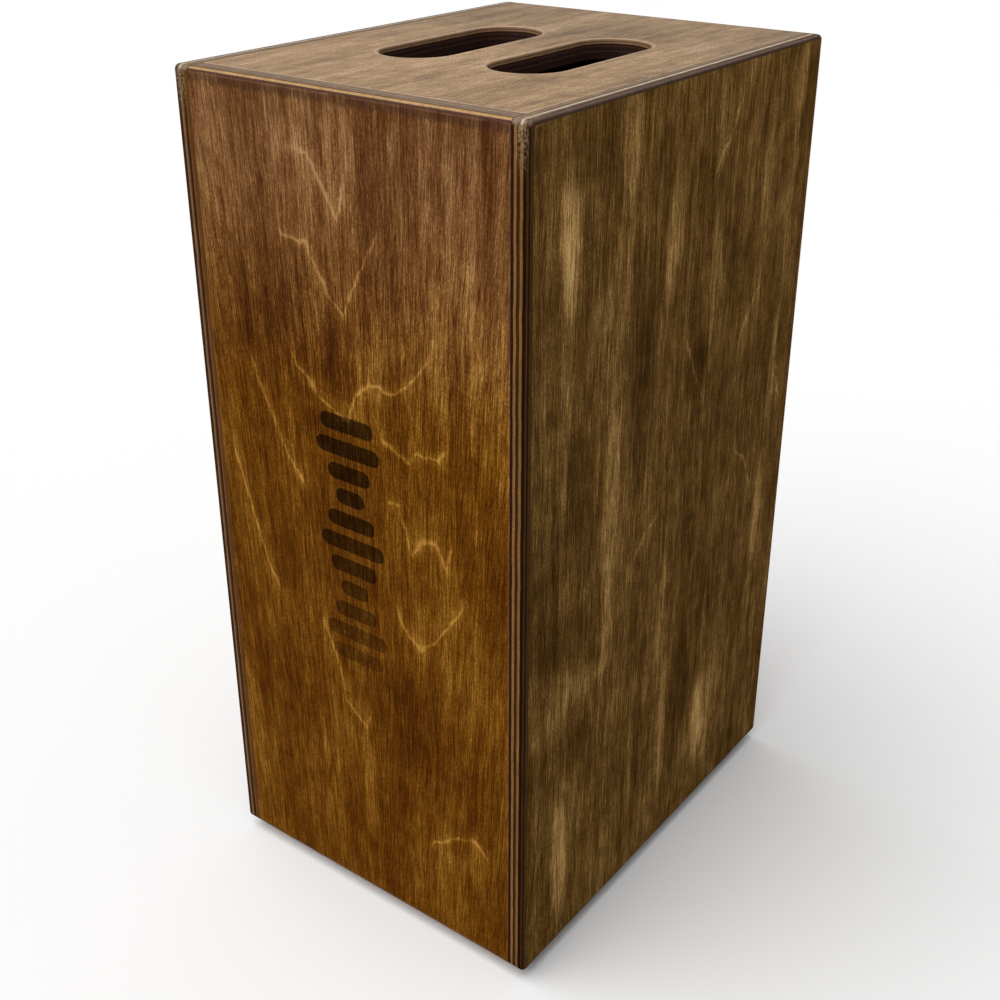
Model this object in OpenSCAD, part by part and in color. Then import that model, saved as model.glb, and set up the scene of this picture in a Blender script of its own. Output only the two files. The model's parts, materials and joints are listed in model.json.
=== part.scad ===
// Cajon: a plywood box drum that stands on end and is sat on.
// Z is up, the marked front faces -Y and the thin playing plate closes the box at +Y.
// The origin is on the floor, under the middle of the box.

/* [Box] */
// Width across the narrow front
box_w = 235; // [220:1:300]
// Depth from the front to the back of the playing plate
box_d = 297; // [270:1:340]
// Height of the box without its feet
box_h = 508; // [440:1:560]
// Thickness of the plywood panels
ply_t = 11.5; // [9:0.5:15]
// Thickness of the playing plate
plate_t = 4; // [3:0.5:5]
// Radius rounded onto every outer edge
edge_r = 3; // [1:0.5:3]

/* [Hand slots] */
// Length of a slot, end to end
slot_l = 122; // [90:1:140]
// Width of a slot
slot_w = 43; // [34:1:48]
// Distance between the middles of the two slots
slot_pitch = 76; // [66:1:86]
// Radius rounded onto the upper rim of a slot
rim_r = 3; // [1:0.5:4]

/* [Frame inside] */
// Side of the square battens and cleats
batten_s = 18; // [14:1:22]
// Bevel along a batten's free edge
batten_bevel = 4; // [1:0.5:6]
// Gap left between the cleats and the playing plate
cleat_gap = 12; // [6:1:20]

/* [Snare] */
// Height of the middle of the snare bar above the floor
bar_z = 352; // [250:1:370]
// Height of the snare bar's section
bar_h = 32; // [28:1:40]
// Depth of the snare bar's section
bar_d = 20; // [16:1:26]
// Strands in each snare
strand_n = 10; // [6:1:12]
// Outer diameter of a coiled strand
strand_d = 2; // [1.4:0.1:2.4]
// Distance between neighbouring strands
strand_pitch = 4.6; // [3:0.1:5]
// Length of a strand
strand_l = 118; // [60:1:120]
// Angle that each snare leans away from the middle
snare_lean = 8; // [0:1:10]

/* [Feet] */
// Height of a foot
foot_h = 8; // [6:1:12]
// Diameter of a foot where it meets the floor panel
foot_d = 30; // [24:1:36]
// Distance of a foot's middle from the box's faces
foot_inset = 30; // [24:1:40]

/* [Screws] */
// Shank diameter of the playing plate's screws
plate_screw_d = 3.5; // [3:0.1:4]
// Screws along each tall edge of the playing plate
side_screw_n = 6; // [4:1:8]
// Screws across the top and the bottom of the playing plate
end_screw_n = 3; // [2:1:4]

/* [Hidden] */
$fn = 64;
LEFT = -1;
RIGHT = 1;
FRONT = -1;
REAR = 1;
// overlap that lets a cutter pass clear through a face
over = 1;

// outer faces of the box
half_w = box_w / 2;
half_d = box_d / 2;
base_z = foot_h;
top_z = foot_h + box_h;
// inner faces of the panels
in_x = half_w - ply_t;
front_in_y = ply_t - half_d;
plate_in_y = half_d - plate_t;
floor_top_z = base_z + ply_t;
seat_low_z = top_z - ply_t;

// playing plate screws
plate_screw_l = 22;
plate_head_d = 7;
plate_head_h = 2.2;
drive_w = 0.9;
drive_l = 3.6;
drive_depth = 1.2;
side_screw_x = half_w - ply_t / 2;
side_screw_low = base_z + 40;
side_screw_step = (box_h - 80) / (side_screw_n - 1);
end_screw_span = box_w - 110;
end_screw_step = end_screw_span / (end_screw_n - 1);

// snare: the strands lie just clear of the playing plate
strand_clear = 0.3;
strand_y = plate_in_y - strand_clear - strand_d / 2;
clip_t = 1;
clip_y = strand_y - strand_d / 2 - clip_t;
clip_h = 14;
clip_tab = 9;
fan_w = (strand_n - 1) * strand_pitch;
clip_w = fan_w + strand_d + 2 * clip_tab;
clip_screw_x = (fan_w + strand_d + clip_tab) / 2;
clip_screw_d = 3;
clip_screw_l = 14;
clip_head_d = 5.4;
clip_head_h = 1.6;
snare_x = 46;
bar_end_gap = 0.5;
bar_half = in_x - bar_end_gap;
bar_y = clip_y - bar_d;
bar_low_z = bar_z - bar_h / 2;

// brackets under the snare bar's ends
bracket_t = 2;
bracket_leg = 34;
bracket_w = 16;
bracket_y = bar_y + bar_d / 2;
bracket_holes = [12, 25];
bracket_screw_d = 3.5;
bracket_screw_l = 11;
bracket_head_d = 6.4;
bracket_head_h = 2;

// feet
foot_low_d = foot_d - 4;
foot_x = half_w - foot_inset;
foot_y = half_d - foot_inset;
well_d = 14;
well_h = foot_h - 4;
washer_d = 12;
washer_t = 1;
foot_screw_d = 4;
foot_screw_l = 14;
foot_head_d = 8;
foot_head_h = 2;

// colours
stain_front = "#8a5a30";
stain_side = "#5c4426";
stain_seat = "#96785a";
stain_plate = "#7a4a26";
raw_timber = "#c9a572";
steel = "#b4b6b8";
black_steel = "#26262a";
brass = "#b08d4a";
rubber = "#1c1c1e";

// ---- shared shapes ----

// what a round-over bit takes off an edge that runs along +Z, with the block at +X and +Y
module round_over(length, r) {
    difference() {
        translate([-over, -over, -over])
            cube([r + over, r + over, length + 2 * over]);
        translate([r, r, -2 * over])
            cylinder(r = r, h = length + 4 * over);
    }
}

// all that is taken off the twelve outer edges of the box
module box_edges() {
    for (sx = [0, 1], sy = [0, 1])
        mirror([sx, 0, 0])
            mirror([0, sy, 0])
                translate([-half_w, -half_d, base_z])
                    round_over(box_h, edge_r);
    for (sx = [0, 1], sz = [0, 1])
        mirror([sx, 0, 0])
            translate([-half_w, half_d, base_z + box_h / 2])
                mirror([0, 0, sz])
                    translate([0, 0, -box_h / 2])
                        rotate([90, 0, 0])
                            round_over(box_d, edge_r);
    for (sy = [0, 1], sz = [0, 1])
        mirror([0, sy, 0])
            translate([-half_w, -half_d, base_z + box_h / 2])
                mirror([0, 0, sz])
                    translate([0, 0, -box_h / 2])
                        rotate([90, 0, 90])
                            round_over(box_w, edge_r);
}

// a block between two corners, with the box's outer edges rounded off
module panel(low, high) {
    difference() {
        translate(low)
            cube(high - low);
        box_edges();
    }
}

// outline of a slot with round ends, along Y
module slot_bar(length, width, height) {
    straight = length - width;
    translate([-width / 2, -straight / 2, 0])
        cube([width, straight, height]);
    for (s = [FRONT, REAR])
        translate([0, s * straight / 2, 0])
            cylinder(d = width, h = height);
}

// what a round-over bit takes off the upper rim of a slot whose top is at z = 0
module slot_rim() {
    straight = slot_l - slot_w;
    // the bit's section: a square corner less a quarter circle, at the slot's wall
    module bit() {
        difference() {
            translate([slot_w / 2 - over, -rim_r])
                square([rim_r + over, rim_r + over]);
            translate([slot_w / 2 + rim_r, -rim_r])
                circle(r = rim_r);
            translate([slot_w / 2 - 2 * over, -rim_r - over])
                square([over + 0.5 * over, rim_r + 3 * over]);
        }
    }
    for (s = [0, 1])
        mirror([s, 0, 0])
            translate([0, straight / 2, 0])
                rotate([90, 0, 0])
                    linear_extrude(height = straight)
                        bit();
    for (s = [0, 1])
        mirror([0, s, 0])
            translate([0, straight / 2, 0])
                rotate_extrude(angle = 180)
                    bit();
}

// a screw whose head's upper face is at z = 0, pointing down, with a plain shank
module flat_head_screw(d, length, head_d, head_h) {
    difference() {
        union() {
            translate([0, 0, -head_h])
                cylinder(d1 = d, d2 = head_d, h = head_h);
            translate([0, 0, d / 2 - length])
                cylinder(d = d, h = length - head_h - d / 2);
            translate([0, 0, -length])
                cylinder(d1 = 0.4, d2 = d, h = d / 2);
        }
        cross_recess();
    }
}

// a screw whose head sits on z = 0, pointing down, with a plain shank
module pan_head_screw(d, length, head_d, head_h) {
    difference() {
        union() {
            cylinder(d1 = head_d, d2 = head_d - 1, h = head_h);
            translate([0, 0, d / 2 - length])
                cylinder(d = d, h = length - d / 2);
            translate([0, 0, -length])
                cylinder(d1 = 0.4, d2 = d, h = d / 2);
        }
        translate([0, 0, head_h])
            cross_recess();
    }
}

// cross-shaped driver recess, cut down from z = 0
module cross_recess() {
    for (turn = [0, 90])
        rotate([0, 0, turn])
            translate([-drive_l / 2, -drive_w / 2, -drive_depth])
                cube([drive_l, drive_w, drive_depth + over]);
}

// places its children at each playing plate screw, head outwards along +Y
module at_plate_screws() {
    for (s = [LEFT, RIGHT], i = [0 : side_screw_n - 1])
        translate([s * side_screw_x, half_d, side_screw_low + i * side_screw_step])
            rotate([-90, 0, 0])
                children();
    for (z = [base_z + ply_t / 2, top_z - ply_t / 2], i = [0 : end_screw_n - 1])
        translate([i * end_screw_step - end_screw_span / 2, half_d, z])
            rotate([-90, 0, 0])
                children();
}

// the holes that the playing plate's screws make in whatever they pass
module plate_screw_holes() {
    at_plate_screws() {
        translate([0, 0, -plate_screw_l])
            cylinder(d = plate_screw_d, h = plate_screw_l);
        translate([0, 0, -plate_head_h])
            cylinder(d1 = plate_screw_d, d2 = plate_head_d, h = plate_head_h);
    }
}

// places its children at a foot's middle, on the underside of the floor panel
module at_foot(side, end) {
    translate([side * foot_x, end * foot_y, base_z])
        children();
}

// places its children at every foot
module at_feet() {
    for (side = [LEFT, RIGHT], end = [FRONT, REAR])
        at_foot(side, end)
            children();
}

// places its children at a bracket's screws, heads away from the wood:
// two go up into the snare bar and two go out into the side panel
module at_bracket_screws(side) {
    for (h = bracket_holes) {
        translate([side * (in_x - h), bracket_y, bar_low_z - bracket_t])
            rotate([180, 0, 0])
                children();
        translate([side * (in_x - bracket_t), bracket_y, bar_low_z - h])
            rotate([0, -90 * side, 0])
                children();
    }
}

// places its children in a snare's own frame: Z along the strands, Y out to the plate
module at_snare(side) {
    translate([side * snare_x, clip_y, bar_z])
        rotate([0, side * snare_lean, 0])
            children();
}

// places its children at a clip's two screws, heads towards the playing plate
module at_clip_screws(side) {
    at_snare(side)
        for (s = [LEFT, RIGHT])
            translate([s * clip_screw_x, clip_t, 0])
                rotate([-90, 0, 0])
                    children();
}

// ---- box ----

module front_panel() {
    color(stain_front)
        panel([-in_x, -half_d, base_z], [in_x, front_in_y, top_z]);
}

module side_panel(side) {
    low_x = side == LEFT ? -half_w : in_x;
    color(stain_side)
        difference() {
            panel([low_x, -half_d, base_z], [low_x + ply_t, plate_in_y, top_z]);
            plate_screw_holes();
            at_bracket_screws(side)
                translate([0, 0, -bracket_screw_l])
                    cylinder(d = bracket_screw_d, h = bracket_screw_l);
        }
}

module left_side_panel() {
    side_panel(LEFT);
}

module right_side_panel() {
    side_panel(RIGHT);
}

module seat_panel() {
    color(stain_seat)
        difference() {
            panel([-in_x, front_in_y, seat_low_z], [in_x, plate_in_y, top_z]);
            plate_screw_holes();
            for (side = [LEFT, RIGHT]) {
                translate([side * slot_pitch / 2, 0, seat_low_z - over])
                    slot_bar(slot_l, slot_w, ply_t + 2 * over);
                translate([side * slot_pitch / 2, 0, top_z])
                    slot_rim();
            }
        }
}

module floor_panel() {
    color(stain_side)
        difference() {
            panel([-in_x, front_in_y, base_z], [in_x, plate_in_y, floor_top_z]);
            plate_screw_holes();
            at_feet()
                cylinder(d = foot_screw_d, h = foot_screw_l - (foot_h - well_h) - washer_t);
        }
}

module playing_plate() {
    color(stain_plate)
        difference() {
            panel([-half_w, plate_in_y, base_z], [half_w, half_d, top_z]);
            plate_screw_holes();
        }
}

module plate_screws() {
    color(black_steel)
        at_plate_screws()
            flat_head_screw(plate_screw_d, plate_screw_l, plate_head_d, plate_head_h);
}

// ---- frame inside ----

// square section with its free corner bevelled; the glued corner is at the origin
module batten(length) {
    linear_extrude(height = length)
        polygon([
            [0, 0],
            [batten_s, 0],
            [batten_s, batten_s - batten_bevel],
            [batten_s - batten_bevel, batten_s],
            [0, batten_s]
        ]);
}

module front_batten(side) {
    color(raw_timber)
        mirror([side == RIGHT ? 1 : 0, 0, 0])
            translate([-in_x, front_in_y, floor_top_z])
                batten(seat_low_z - floor_top_z);
}

module front_left_batten() {
    front_batten(LEFT);
}

module front_right_batten() {
    front_batten(RIGHT);
}

// a cleat runs along a side panel, from the front batten to just short of the plate
cleat_y = front_in_y + batten_s;
cleat_l = plate_in_y - cleat_gap - cleat_y;

module seat_cleat(side) {
    color(raw_timber)
        mirror([side == RIGHT ? 1 : 0, 0, 0])
            translate([-in_x, cleat_y, seat_low_z])
                rotate([-90, 0, 0])
                    batten(cleat_l);
}

module left_seat_cleat() {
    seat_cleat(LEFT);
}

module right_seat_cleat() {
    seat_cleat(RIGHT);
}

module floor_cleat(side) {
    color(raw_timber)
        mirror([side == RIGHT ? 1 : 0, 0, 0])
            translate([-in_x, cleat_y + cleat_l, floor_top_z])
                rotate([90, 0, 0])
                    batten(cleat_l);
}

module left_floor_cleat() {
    floor_cleat(LEFT);
}

module right_floor_cleat() {
    floor_cleat(RIGHT);
}

// ---- snare ----

module snare_bar() {
    color(raw_timber)
        difference() {
            translate([-bar_half, bar_y, bar_low_z])
                cube([2 * bar_half, bar_d, bar_h]);
            for (side = [LEFT, RIGHT]) {
                at_bracket_screws(side)
                    translate([0, 0, -bracket_screw_l])
                        cylinder(d = bracket_screw_d, h = bracket_screw_l);
                at_clip_screws(side)
                    translate([0, 0, -clip_screw_l])
                        cylinder(d = clip_screw_d, h = clip_screw_l);
            }
        }
}

module snare_bracket(side) {
    low_x = side == LEFT ? -in_x : in_x - bracket_leg;
    wall_x = side == LEFT ? -in_x : in_x - bracket_t;
    color(steel)
        difference() {
            union() {
                translate([low_x, bracket_y - bracket_w / 2, bar_low_z - bracket_t])
                    cube([bracket_leg, bracket_w, bracket_t]);
                translate([wall_x, bracket_y - bracket_w / 2, bar_low_z - bracket_leg])
                    cube([bracket_t, bracket_w, bracket_leg]);
            }
            at_bracket_screws(side)
                translate([0, 0, -bracket_screw_l])
                    cylinder(d = bracket_screw_d, h = bracket_screw_l + over);
        }
}

module left_snare_bracket() {
    snare_bracket(LEFT);
}

module right_snare_bracket() {
    snare_bracket(RIGHT);
}

module bracket_screws() {
    color(steel)
        for (side = [LEFT, RIGHT])
            at_bracket_screws(side)
                pan_head_screw(bracket_screw_d, bracket_screw_l, bracket_head_d, bracket_head_h);
}

module snare_clip(side) {
    color(brass)
        difference() {
            at_snare(side)
                translate([-clip_w / 2, 0, -clip_h / 2])
                    cube([clip_w, clip_t, clip_h]);
            at_clip_screws(side)
                translate([0, 0, -clip_screw_l])
                    cylinder(d = clip_screw_d, h = clip_screw_l + over);
        }
}

module left_snare_clip() {
    snare_clip(LEFT);
}

module right_snare_clip() {
    snare_clip(RIGHT);
}

module clip_screws() {
    color(steel)
        for (side = [LEFT, RIGHT])
            at_clip_screws(side)
                pan_head_screw(clip_screw_d, clip_screw_l, clip_head_d, clip_head_h);
}

// each coiled strand is a plain rod of the coil's outer diameter, soldered to its clip
module snare_wires(side) {
    color(steel)
        at_snare(side)
            for (i = [0 : strand_n - 1])
                translate([i * strand_pitch - fan_w / 2, clip_t + strand_d / 2, -clip_h / 2])
                    cylinder(d = strand_d, h = strand_l + clip_h);
}

module left_snare_wires() {
    snare_wires(LEFT);
}

module right_snare_wires() {
    snare_wires(RIGHT);
}

// ---- feet ----

// tapered rubber foot with a well for its screw
module foot() {
    color(rubber)
        difference() {
            translate([0, 0, -foot_h])
                cylinder(d1 = foot_low_d, d2 = foot_d, h = foot_h);
            translate([0, 0, -foot_h - over])
                cylinder(d = well_d, h = well_h + over);
            translate([0, 0, -foot_h])
                cylinder(d = foot_screw_d, h = foot_h + over);
        }
}

module front_left_foot() {
    at_foot(LEFT, FRONT)
        foot();
}

module front_right_foot() {
    at_foot(RIGHT, FRONT)
        foot();
}

module rear_left_foot() {
    at_foot(LEFT, REAR)
        foot();
}

module rear_right_foot() {
    at_foot(RIGHT, REAR)
        foot();
}

module foot_washers() {
    color(steel)
        at_feet()
            translate([0, 0, well_h - foot_h - washer_t])
                difference() {
                    cylinder(d = washer_d, h = washer_t);
                    translate([0, 0, -over])
                        cylinder(d = foot_screw_d, h = washer_t + 2 * over);
                }
}

module foot_screws() {
    color(steel)
        at_feet()
            translate([0, 0, well_h - foot_h - washer_t])
                rotate([180, 0, 0])
                    pan_head_screw(foot_screw_d, foot_screw_l, foot_head_d, foot_head_h);
}

front_panel();
left_side_panel();
right_side_panel();
seat_panel();
floor_panel();
playing_plate();
plate_screws();
front_left_batten();
front_right_batten();
left_seat_cleat();
right_seat_cleat();
left_floor_cleat();
right_floor_cleat();
snare_bar();
left_snare_bracket();
right_snare_bracket();
bracket_screws();
left_snare_clip();
right_snare_clip();
clip_screws();
left_snare_wires();
right_snare_wires();
front_left_foot();
front_right_foot();
rear_left_foot();
rear_right_foot();
foot_washers();
foot_screws();
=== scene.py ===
import json
import math
import random

import bmesh
import bpy
from mathutils import Matrix, Vector


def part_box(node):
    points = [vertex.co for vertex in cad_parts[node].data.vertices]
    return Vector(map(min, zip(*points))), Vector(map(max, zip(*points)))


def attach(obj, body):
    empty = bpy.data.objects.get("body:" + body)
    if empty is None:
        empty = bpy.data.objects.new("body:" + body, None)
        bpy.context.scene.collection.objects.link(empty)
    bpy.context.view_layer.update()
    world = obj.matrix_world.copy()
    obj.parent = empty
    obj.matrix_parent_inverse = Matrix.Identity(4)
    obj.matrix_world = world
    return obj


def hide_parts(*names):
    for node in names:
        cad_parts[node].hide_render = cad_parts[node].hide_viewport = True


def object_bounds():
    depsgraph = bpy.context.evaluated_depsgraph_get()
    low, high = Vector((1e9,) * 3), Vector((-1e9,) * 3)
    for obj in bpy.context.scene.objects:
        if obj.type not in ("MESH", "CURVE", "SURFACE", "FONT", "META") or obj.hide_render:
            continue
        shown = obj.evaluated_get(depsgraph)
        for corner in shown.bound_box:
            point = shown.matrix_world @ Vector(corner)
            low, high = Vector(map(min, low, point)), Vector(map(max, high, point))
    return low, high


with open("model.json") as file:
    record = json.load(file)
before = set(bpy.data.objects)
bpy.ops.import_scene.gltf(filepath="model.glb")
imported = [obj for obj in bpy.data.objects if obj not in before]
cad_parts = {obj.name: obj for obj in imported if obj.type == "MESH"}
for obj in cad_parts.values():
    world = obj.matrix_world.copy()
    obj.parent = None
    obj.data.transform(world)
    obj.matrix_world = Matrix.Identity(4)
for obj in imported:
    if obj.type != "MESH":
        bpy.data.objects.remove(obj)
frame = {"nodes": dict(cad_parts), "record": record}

cad_low, cad_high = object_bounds()
NODES = frame["nodes"]
MM = 0.001          # in metres; lengths are in mm unless a comment says otherwise
PLY = 11.5          # thickness of the box's plywood
EDGE = 3.0          # radius of the box's outer edges and of the slots' rims
ARRIS = 0.4         # radius of every other edge of a panel
RUB_HIGHLIGHT = 0.7           # width of the pale line beside a rounded edge: rubbed wear and a painted highlight
WELD = 1e-7         # points closer than this, in metres, are one
NO_AREA = 1e-9      # a face smaller than this, in square metres, has none
BOX_LOW = Vector(cad_low) / MM
BOX_HIGH = Vector(cad_high) / MM
BASE_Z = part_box("floor_panel")[0].z / MM
TOP_Z = BOX_HIGH.z
FULL_TURN = 2 * math.pi
UPRIGHT = Matrix.Identity(3)


# ---------------------------------------------------------------- shader arithmetic

class Val:
    """A number that varies over a surface, with plain arithmetic."""

    def __init__(self, tree, socket):
        self.tree, self.socket = tree, socket

    def op(self, kind, *others):
        return self.tree.math(kind, self, *others)

    def __add__(self, o):
        return self.op("ADD", o)

    __radd__ = __add__

    def __mul__(self, o):
        return self.op("MULTIPLY", o)

    __rmul__ = __mul__

    def __sub__(self, o):
        return self.op("SUBTRACT", o)

    def __rsub__(self, o):
        return self.tree.math("SUBTRACT", o, self)

    def __truediv__(self, o):
        return self.op("DIVIDE", o)

    def __pow__(self, o):
        return self.op("POWER", o)

    def __abs__(self):
        return self.op("ABSOLUTE")

    def most(self, o):
        return self.op("MAXIMUM", o)

    def least(self, o):
        return self.op("MINIMUM", o)

    def ramp(self, low, high, a=0.0, b=1.0):
        """a below low, b above high, and a smooth step between them."""
        node = self.tree.new("ShaderNodeMapRange", interpolation_type="SMOOTHSTEP")
        self.tree.put(node.inputs["Value"], self)
        for name, value in (("From Min", low), ("From Max", high), ("To Min", a), ("To Max", b)):
            node.inputs[name].default_value = value
        return Val(self.tree, node.outputs["Result"])


class Tree:
    """A material's nodes, made by plain calls."""

    def __init__(self, name):
        self.mat = bpy.data.materials.new(name)
        self.mat.use_nodes = True
        self.nodes = self.mat.node_tree.nodes
        self.links = self.mat.node_tree.links
        self.nodes.clear()
        self.out = self.new("ShaderNodeOutputMaterial")
        self.bsdf = self.new("ShaderNodeBsdfPrincipled")
        self.links.new(self.bsdf.outputs["BSDF"], self.out.inputs["Surface"])

    def new(self, kind, **settings):
        node = self.nodes.new(kind)
        for key, value in settings.items():
            setattr(node, key, value)
        return node

    def put(self, socket, value):
        if isinstance(value, Val):
            value = value.socket
        if isinstance(value, bpy.types.NodeSocket):
            self.links.new(value, socket)
        else:
            socket.default_value = value

    def math(self, kind, *args):
        node = self.new("ShaderNodeMath", operation=kind)
        for socket, value in zip(node.inputs, args):
            self.put(socket, value)
        return Val(self, node.outputs[0])

    def place(self):
        """x, y and z of the surface point, in mm in the row frame."""
        where = self.new("ShaderNodeTexCoord")
        scaled = self.new("ShaderNodeVectorMath", operation="SCALE")
        self.links.new(where.outputs["Object"], scaled.inputs[0])
        scaled.inputs["Scale"].default_value = 1 / MM
        parts = self.new("ShaderNodeSeparateXYZ")
        self.links.new(scaled.outputs[0], parts.inputs[0])
        return [Val(self, s) for s in parts.outputs]

    def noise(self, x, y, z=0.0, detail=2.0, rough=0.5, seed=0.0):
        """Smooth noise from 0 to 1 whose blobs are about 1 unit across."""
        node = self.new("ShaderNodeTexNoise", noise_dimensions="4D")
        joined = self.new("ShaderNodeCombineXYZ")
        for socket, value in zip(joined.inputs, (x, y, z)):
            self.put(socket, value)
        self.links.new(joined.outputs[0], node.inputs["Vector"])
        node.inputs["W"].default_value = seed
        node.inputs["Scale"].default_value = 1.0
        node.inputs["Detail"].default_value = detail
        node.inputs["Roughness"].default_value = rough
        return Val(self, node.outputs[0])

    def attribute(self, name):
        node = self.new("ShaderNodeAttribute", attribute_name=name)
        return Val(self, node.outputs["Fac"])

    def colours(self, val, stops, gain=1.0):
        """A colour ramp; stops are (position, (r, g, b)) with colours in 0 to 255, which are
        made brighter by gain."""
        node = self.new("ShaderNodeValToRGB")
        self.put(node.inputs["Fac"], val)
        band = node.color_ramp
        while len(band.elements) < len(stops):
            band.elements.new(0.5)
        for element, (at, colour) in zip(band.elements, stops):
            element.position = at
            element.color = (*(c * gain for c in linear(colour)), 1)
        return node.outputs["Color"]

    def curve(self, val, knots):
        """A smooth curve through knots, (input, output) from 0 to 1."""
        node = self.new("ShaderNodeFloatCurve")
        points = node.mapping.curves[0].points
        points[0].location, points[1].location = knots[0], knots[-1]
        for knot in knots[1:-1]:
            points.new(*knot)
        for point in points:
            point.handle_type = "VECTOR"
        node.mapping.update()
        self.put(node.inputs["Value"], val)
        return Val(self, node.outputs[0])

    def mix(self, fac, a, b):
        node = self.new("ShaderNodeMix", data_type="RGBA")
        self.put(node.inputs[0], fac)
        for socket, value in ((node.inputs[6], a), (node.inputs[7], b)):
            if isinstance(value, tuple):
                value = (*linear(value), 1)
            self.put(socket, value)
        return node.outputs[2]

    def shade(self, colour, val):
        """colour made lighter or darker by val."""
        node = self.new("ShaderNodeVectorMath", operation="SCALE")
        self.put(node.inputs[0], colour)
        self.put(node.inputs["Scale"], val)
        return node.outputs[0]

    def bump(self, height, depth):
        """height, from 0 to 1, as a relief that is depth mm high."""
        node = self.new("ShaderNodeBump")
        node.inputs["Strength"].default_value = 1.0
        node.inputs["Distance"].default_value = depth * MM
        self.put(node.inputs["Height"], height)
        self.links.new(node.outputs["Normal"], self.bsdf.inputs["Normal"])

    def set(self, **values):
        for name, value in values.items():
            self.put(self.bsdf.inputs[name.replace("_", " ")], value)
        return self.mat


def linear(colour):
    """A screen colour, 0 to 255, as linear light."""
    return [(c / 255 / 12.92) if c / 255 <= 0.04045 else ((c / 255 + 0.055) / 1.055) ** 2.4
            for c in colour]


# ---------------------------------------------------------------- wood

def gap_to_line(t, u, v, points):
    """How far, in mm, the point u, v is from a line through points."""
    left, low = points[0][0], min(p[1] for p in points)
    span, tall = points[-1][0] - left, max(p[1] for p in points) - low
    knots = [((a - left) / span, (b - low) / tall) for a, b in points]
    here = (u - left) / span
    level = t.curve(here, knots)
    slope = (t.curve(here + 1.0 / span, knots) - level) * tall
    gap = abs((v - low) / tall - level) * tall / (slope * slope + 1.0) ** 0.5
    return gap + here.ramp(-0.02, 0.12, 9.0, 0.0) + here.ramp(0.88, 1.02, 0.0, 9.0)


def drawn_figure(t, u, v, seed, lines):
    """The growth lines of a list, slightly unsteady and broken, each in a faint pale band."""
    u = u + (t.noise(u / 5, v / 9, detail=2, seed=seed) - 0.5) * 3.0
    v = v + (t.noise(u / 7, v / 9, detail=2, seed=seed + 1.3) - 0.5) * 7.0
    gap = None
    for points in lines:
        one = gap_to_line(t, u, v, points)
        gap = one if gap is None else gap.least(one)
    wide = t.noise(u / 12, v / 12, detail=1, seed=seed + 2.1).ramp(0.3, 0.7, 0.9, 2.2)
    shown = t.noise(u / 9, v / 16, detail=2, seed=seed + 4.2).ramp(0.25, 0.55, 0.3, 1.0)
    return (1.0 - gap / wide).most(0.0) * shown + (1.0 - gap / 7.0).most(0.0) * 0.35


def drawn_streaks(t, u, v, seed, streaks):
    """Soft lens shapes along the grain, summed: (u, v, half width, half length, lean,
    amount), where lean is sideways over lengthwise and a dark streak's amount is below 0."""
    u = (u + (t.noise(u / 18, v / 60, detail=2, seed=seed) - 0.5) * 9.0
         + (t.noise(u / 1.6, v / 22, detail=2, seed=seed + 1.1) - 0.5) * 5.0)
    total = None
    for u0, v0, wide, tall, lean, amount in streaks:
        along = (v - float(v0)) / tall
        across = (u - float(u0) - along * (lean * tall)) / wide
        one = (across * across + along * along).ramp(0.1, 1.15, amount, 0.0)
        total = one if total is None else total + one
    return total


def growth_lines(t, u, v, seed, middle=0.0, steep=2.2, period=95.0, wander=45.0, width=0.014):
    """Cathedral figure of a peeled veneer: pale lines in V shapes, and the slow change between
    them. u runs across the grain and v along it, in mm."""
    off = u - middle
    wave = (t.noise(u / 24, v / 80, detail=4, rough=0.55, seed=seed) - 0.5) * wander
    ring = (v - (off * off + 20.0) ** 0.5 * steep + wave) / period
    near = ring.op("PINGPONG", 0.5)
    soft = t.noise(u / 15, v / 30, detail=1, seed=seed + 2.9)
    soft = soft.ramp(0.3, 0.7, width * 0.7, width * 1.9)
    line = (1.0 - near / soft).most(0.0)
    shown = t.noise(u / 35, v / 70, detail=1, seed=seed + 1.7).ramp(0.36, 0.56)
    return line * shown, ring.op("FRACT") - 0.5


MIDDLE = 0.55       # tone of evenly stained wood
FULL = 0.8          # where a tone of 1 falls on a stain's ramp; paler spots lie above it


def veneer_tone(t, u, v, seed, middle=0.0, fan=0.0, crisp=1.0, broad=1.0, lines=0.34, **figure):
    """How light the stained face is, from 0 to 1, with its fibres as a second value."""
    sway = (t.noise(u / 16, v / 50, detail=2, seed=seed + 0.9) - 0.5) * 4.0
    across = (u - middle) * (1.0 - (v - 262.0) * fan) + sway
    patch = t.noise(u / 45, v / 110, detail=3, seed=seed) - 0.5
    band = t.noise(across / 8, v / 150, detail=2, rough=0.6, seed=seed + 3.1) - 0.5
    strand = t.noise(across / 2.2, v / 60, detail=2, seed=seed + 5.7) - 0.5
    fibre = t.noise(across / 0.6, v / 19, detail=2, rough=0.65, seed=seed + 7.3) - 0.5
    fibre = fibre.least(0.14)
    speck = t.noise(u / 0.8, v / 1.6, detail=1, seed=seed + 2.2) - 0.5
    seam = abs(t.noise(across / 2.2, v / 40, detail=2, seed=seed + 8.8) - 0.5)
    seam = seam.ramp(0.0, 0.05, 1.0, 0.0)
    mottle = t.noise(u / 11, v / 12, detail=3, seed=seed + 6.2) - 0.5
    pore = t.noise(across / 0.5, v / 7, detail=1, seed=seed + 9.1).ramp(0.6, 0.74)
    tone = ((patch * 0.85 + band * 0.6) * broad + mottle * 0.4 + MIDDLE
            + (strand * 0.4 + fibre * 1.9 + speck * 0.75 - seam * 0.1 - pore * 0.14) * crisp)
    if lines:
        line, slow = growth_lines(t, u, v, seed + 4.4, middle, **figure)
        tone = tone + slow * 0.06 + line * lines
    return tone, fibre + 0.5 - pore * 0.4


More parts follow.
